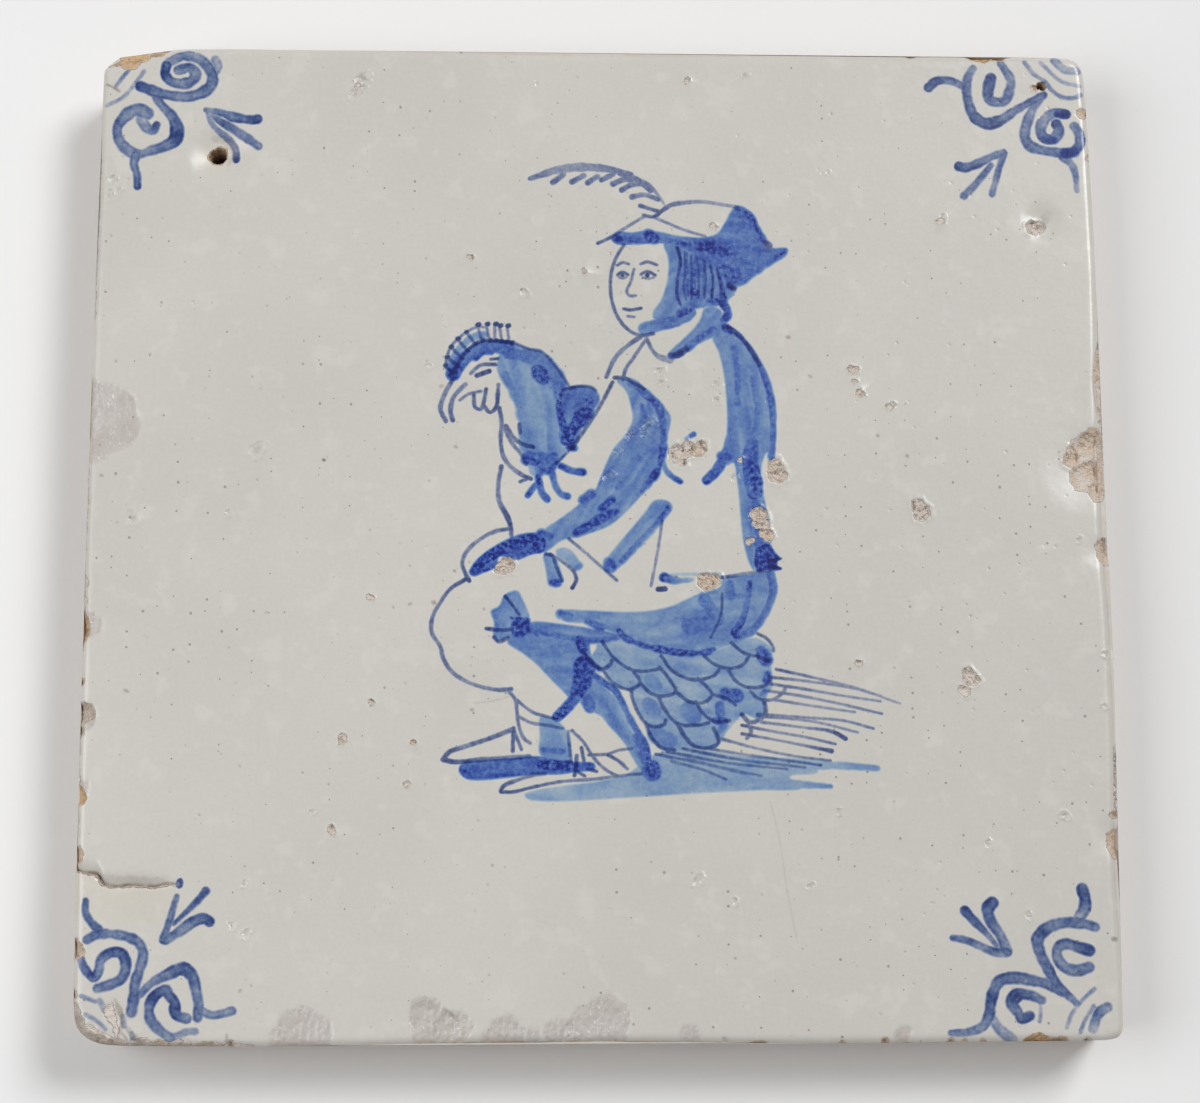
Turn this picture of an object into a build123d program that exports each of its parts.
"""Tin-glazed wall tile: one slab of fired clay, glazed and painted on its face.

The tile lies on its flat back with its face up. X runs across the picture from left to
right, Y runs up the picture, and the origin is under the middle of the back. Sizes are in
millimetres and angles in degrees.
"""

import os
from math import radians, sqrt, tan

from build123d import *

# The slab, measured across the middle of its glazed face
FACE_WIDTH = 131.2
FACE_HEIGHT = 130.2
SLAB_THICKNESS = 10.0

# Each side bows outwards between its corners, from drying and firing
LEFT_RIGHT_BOW = 0.35
TOP_BOTTOM_BOW = 0.30

# The sides are cut leaning in towards the back, so that the glazed faces can meet
SIDE_LEAN = 5.0

# The glaze rolls over the edge of the face in a small round
GLAZE_EDGE_RADIUS = 0.6

# How far each worn corner is cut back, along the top or bottom and then along the side,
# and how round it has worn
TOP_LEFT_ALONG = 8.6
TOP_LEFT_DOWN = 2.2
TOP_LEFT_ROUND = 1.3
TOP_RIGHT_ALONG = 1.3
TOP_RIGHT_DOWN = 1.0
TOP_RIGHT_ROUND = 1.0
BOTTOM_LEFT_ALONG = 3.6
BOTTOM_LEFT_UP = 3.6
BOTTOM_LEFT_ROUND = 3.0
BOTTOM_RIGHT_ALONG = 2.0
BOTTOM_RIGHT_UP = 1.3
BOTTOM_RIGHT_ROUND = 1.0

# The pin hole near the upper left corner, left by the nail of the cutting board:
# a tapered blind hole at the bottom of a funnel that the glaze ran into
LEFT_PIN_FROM_LEFT = 16.1
LEFT_PIN_FROM_TOP = 14.8
LEFT_PIN_MOUTH = 2.1
LEFT_PIN_TIP = 1.0
LEFT_PIN_DEPTH = 5.0
LEFT_FUNNEL_WIDTH = 6.4
LEFT_FUNNEL_DEPTH = 0.7

# The smaller pin hole near the upper right corner
RIGHT_PIN_FROM_RIGHT = 6.3
RIGHT_PIN_FROM_TOP = 4.4
RIGHT_PIN_MOUTH = 1.2
RIGHT_PIN_TIP = 0.6
RIGHT_PIN_DEPTH = 3.5
RIGHT_FUNNEL_WIDTH = 2.2
RIGHT_FUNNEL_DEPTH = 0.35

# A third pin mark below it, nearly filled by glaze: a wide dish with a shallow pit
DISH_FROM_RIGHT = 7.0
DISH_FROM_TOP = 22.9
DISH_WIDTH = 8.0
DISH_DEPTH = 0.5
DISH_PIT_MOUTH = 2.0
DISH_PIT_TIP = 1.2
DISH_PIT_DEPTH = 1.5

# The fold in the clay near the lower left corner: a groove that slopes in gently from
# above and ends in a steep wall below. Its line starts on the left side.
FOLD_START_FROM_BOTTOM = 21.8
FOLD_STEP_FROM_LEFT = 2.6
FOLD_STEP_FROM_BOTTOM = 21.2
FOLD_BEND_FROM_LEFT = 3.7
FOLD_BEND_FROM_BOTTOM = 19.7
FOLD_END_FROM_LEFT = 12.8
FOLD_SLOPE_WIDTH = 1.5
FOLD_WALL_WIDTH = 0.15
FOLD_DEPTH = 0.5

# Flakes broken off the edge of the face, down to the clay. Each is: the side it is on,
# its place along the side from the middle, its width on the edge, its reach into the
# face, and its drop down the side.
DEEP_FLAKES = [
    ("right", 8.8, 8.6, 5.3, 2.2),
    ("right", 6.2, 4.8, 2.8, 2.6),
    ("right", 12.0, 3.6, 2.8, 1.6),
    ("right", 20.2, 9.0, 1.0, 2.6),
    ("right", -2.2, 4.6, 1.8, 2.4),
    ("right", -40.6, 6.2, 1.4, 2.8),
    ("right", 50.2, 3.4, 0.9, 1.8),
    ("top", 51.6, 4.2, 1.4, 1.8),
    ("top", 54.2, 2.4, 0.9, 1.4),
    ("left", -11.6, 5.2, 1.2, 2.6),
    ("left", -23.8, 4.4, 0.9, 2.2),
    ("left", -33.6, 3.8, 0.8, 1.8),
    ("left", -41.2, 3.8, 1.2, 2.0),
    ("left", -52.8, 2.6, 1.1, 1.6),
    ("bottom", 55.6, 5.4, 1.0, 1.8),
    ("bottom", -46.4, 1.8, 1.4, 1.0),
    ("bottom", -49.4, 3.4, 0.9, 2.0),
    ("bottom", -55.2, 4.6, 1.1, 2.2),
]

# Shallow shell-shaped flakes that stay within the glaze, in the same order of sizes
SHELL_FLAKES = [
    ("left", 14.3, 13.8, 6.1, 0.9),
    ("bottom", -37.6, 7.4, 4.6, 0.8),
    ("bottom", -20.8, 7.2, 5.4, 0.9),
    ("bottom", -12.4, 6.0, 3.4, 0.8),
    ("bottom", -0.4, 9.8, 5.3, 0.9),
    ("bottom", 11.0, 3.2, 1.9, 0.8),
    ("bottom", 37.8, 1.9, 2.2, 0.8),
]

# Burst blisters in the glaze: place from the middle of the face, width and depth
BLISTERS = [
    (11.5, 10.6, 2.4, 0.45),
    (23.0, 7.9, 1.5, 0.35),
    (20.9, 1.2, 2.3, 0.40),
    (19.5, -1.3, 0.9, 0.25),
    (13.8, -6.6, 1.5, 0.35),
    (-12.1, -4.8, 1.7, 0.40),
    (41.6, 2.75, 1.5, 0.35),
    (47.3, -19.1, 1.8, 0.40),
    (33.1, 20.4, 1.4, 0.30),
    (-32.6, -27.0, 1.2, 0.25),
]

os.makedirs("parts", exist_ok=True)

HALF_WIDTH = FACE_WIDTH / 2
HALF_HEIGHT = FACE_HEIGHT / 2
CORNER_X = HALF_WIDTH - LEFT_RIGHT_BOW
CORNER_Y = HALF_HEIGHT - TOP_BOTTOM_BOW

# How far the cutting sections stand above the face, so that they leave no skin on it
CUT_CLEARANCE = 1.0


def edge_point(side, along):
    """Point on the bowed edge of the face, and the direction that faces out of it."""
    if side in ("left", "right"):
        outwards = 1 if side == "right" else -1
        x = HALF_WIDTH - LEFT_RIGHT_BOW * (along / HALF_HEIGHT) ** 2
        return Vector(outwards * x, along), Vector(outwards, 0)
    outwards = 1 if side == "top" else -1
    y = HALF_HEIGHT - TOP_BOTTOM_BOW * (along / HALF_WIDTH) ** 2
    return Vector(along, outwards * y), Vector(0, outwards)


def flake_ball(width, reach, drop):
    """Ball through both ends of a flake, its inmost point and its lowest point.

    Returns how far the ball's middle stands outside the edge, how far above the face,
    and the radius.
    """
    half = width / 2
    out = (half**2 - reach**2) / (2 * reach)
    up = (half**2 - drop**2) / (2 * drop)
    return out, up, sqrt(half**2 + out**2 + up**2)


def cut_flake(side, along, width, reach, drop):
    """Break one shell-shaped flake off the edge of the face."""
    edge, outwards = edge_point(side, along)
    out, up, radius = flake_ball(width, reach, drop)
    middle = edge + outwards * out + Vector(0, 0, SLAB_THICKNESS + up)
    with Locations(middle):
        Sphere(radius, mode=Mode.SUBTRACT)


def cut_blister(x, y, width, depth):
    """Open one round shallow pit of the given width and depth in the face."""
    radius = ((width / 2) ** 2 + depth**2) / (2 * depth)
    with Locations((x, y, SLAB_THICKNESS + radius - depth)):
        Sphere(radius, mode=Mode.SUBTRACT)


def pin_hole(x, y, mouth, tip, depth, funnel_width, funnel_depth):
    """Turned solid of a tapered blind hole with a round funnel at its mouth."""
    section_plane = Plane(origin=(x, y, SLAB_THICKNESS), x_dir=(1, 0, 0), z_dir=(0, -1, 0))
    with BuildPart() as hole:
        with BuildSketch(section_plane):
            with BuildLine():
                TangentArc((funnel_width / 2, 0), (mouth / 2, -funnel_depth), tangent=(-1, 0))
                Polyline(
                    (mouth / 2, -funnel_depth),
                    (tip / 2, -depth),
                    (0, -depth),
                    (0, CUT_CLEARANCE),
                    (funnel_width / 2, CUT_CLEARANCE),
                    (funnel_width / 2, 0),
                )
            make_face()
        revolve(axis=Axis((x, y, SLAB_THICKNESS), (0, 0, 1)))
    return hole.part


def slab_outline(inset, height):
    """Outline of the slab at a height, drawn in from that of the face by the inset."""
    corner_x = CORNER_X - inset
    corner_y = CORNER_Y - inset
    with BuildSketch(Plane.XY.offset(height)) as outline:
        with BuildLine():
            top = ThreePointArc(
                (-corner_x + TOP_LEFT_ALONG, corner_y),
                (0, HALF_HEIGHT - inset),
                (corner_x - TOP_RIGHT_ALONG, corner_y),
            )
            right = ThreePointArc(
                (corner_x, corner_y - TOP_RIGHT_DOWN),
                (HALF_WIDTH - inset, 0),
                (corner_x, -corner_y + BOTTOM_RIGHT_UP),
            )
            bottom = ThreePointArc(
                (corner_x - BOTTOM_RIGHT_ALONG, -corner_y),
                (0, -HALF_HEIGHT + inset),
                (-corner_x + BOTTOM_LEFT_ALONG, -corner_y),
            )
            left = ThreePointArc(
                (-corner_x, -corner_y + BOTTOM_LEFT_UP),
                (-HALF_WIDTH + inset, 0),
                (-corner_x, corner_y - TOP_LEFT_DOWN),
            )
            Line(top @ 1, right @ 0)
            Line(right @ 1, bottom @ 0)
            Line(bottom @ 1, left @ 0)
            Line(left @ 1, top @ 0)
        make_face()
        fillet(outline.vertices().sort_by_distance((-corner_x, corner_y))[:1], TOP_LEFT_ROUND)
        fillet(outline.vertices().sort_by_distance((corner_x, corner_y))[:2], TOP_RIGHT_ROUND)
        fillet(outline.vertices().sort_by_distance((-corner_x, -corner_y))[:2], BOTTOM_LEFT_ROUND)
        fillet(outline.vertices().sort_by_distance((corner_x, -corner_y))[:2], BOTTOM_RIGHT_ROUND)
    return outline.sketch


SIDE_INSET = SLAB_THICKNESS * tan(radians(SIDE_LEAN))
back_outline = slab_outline(SIDE_INSET, 0)
face_outline = slab_outline(0, SLAB_THICKNESS)

pin_holes = [
    pin_hole(
        -HALF_WIDTH + LEFT_PIN_FROM_LEFT,
        HALF_HEIGHT - LEFT_PIN_FROM_TOP,
        LEFT_PIN_MOUTH,
        LEFT_PIN_TIP,
        LEFT_PIN_DEPTH,
        LEFT_FUNNEL_WIDTH,
        LEFT_FUNNEL_DEPTH,
    ),
    pin_hole(
        HALF_WIDTH - RIGHT_PIN_FROM_RIGHT,
        HALF_HEIGHT - RIGHT_PIN_FROM_TOP,
        RIGHT_PIN_MOUTH,
        RIGHT_PIN_TIP,
        RIGHT_PIN_DEPTH,
        RIGHT_FUNNEL_WIDTH,
        RIGHT_FUNNEL_DEPTH,
    ),
    pin_hole(
        HALF_WIDTH - DISH_FROM_RIGHT,
        HALF_HEIGHT - DISH_FROM_TOP,
        DISH_PIT_MOUTH,
        DISH_PIT_TIP,
        DISH_PIT_DEPTH,
        DISH_WIDTH,
        DISH_DEPTH,
    ),
]

with BuildPart() as tile:
    # The slab, from its smaller back up to the face
    loft([back_outline, face_outline], ruled=True)
    fillet(tile.faces().sort_by(Axis.Z)[-1].edges(), GLAZE_EDGE_RADIUS)

    # The fold near the lower left corner, swept along its stepped line
    with BuildLine() as fold_line:
        Polyline(
            (-HALF_WIDTH - CUT_CLEARANCE, -HALF_HEIGHT + FOLD_START_FROM_BOTTOM, SLAB_THICKNESS),
            (
                -HALF_WIDTH + FOLD_STEP_FROM_LEFT,
                -HALF_HEIGHT + FOLD_STEP_FROM_BOTTOM,
                SLAB_THICKNESS,
            ),
            (
                -HALF_WIDTH + FOLD_BEND_FROM_LEFT,
                -HALF_HEIGHT + FOLD_BEND_FROM_BOTTOM,
                SLAB_THICKNESS,
            ),
            (
                -HALF_WIDTH + FOLD_END_FROM_LEFT,
                -HALF_HEIGHT + FOLD_BEND_FROM_BOTTOM,
                SLAB_THICKNESS,
            ),
        )
    with BuildSketch(Plane(origin=fold_line.line @ 0, x_dir=(0, 1, 0), z_dir=(1, 0, 0))):
        with BuildLine():
            Polyline(
                (-FOLD_WALL_WIDTH, 0),
                (0, -FOLD_DEPTH),
                (FOLD_SLOPE_WIDTH, 0),
                (FOLD_SLOPE_WIDTH, CUT_CLEARANCE),
                (-FOLD_WALL_WIDTH, CUT_CLEARANCE),
                close=True,
            )
        make_face()
    sweep(path=fold_line.line, transition=Transition.RIGHT, mode=Mode.SUBTRACT)

    # The edge damage and the burst blisters
    for flake in DEEP_FLAKES + SHELL_FLAKES:
        cut_flake(*flake)
    for blister in BLISTERS:
        cut_blister(*blister)

    # The pin holes
    add(pin_holes, mode=Mode.SUBTRACT)

tile.part.label = "tile"
export_step(tile.part, "parts/tile.step")
print("tile volume", round(tile.part.volume, 1), "solids", len(tile.part.solids()))
print("tile size", tile.part.bounding_box().size)
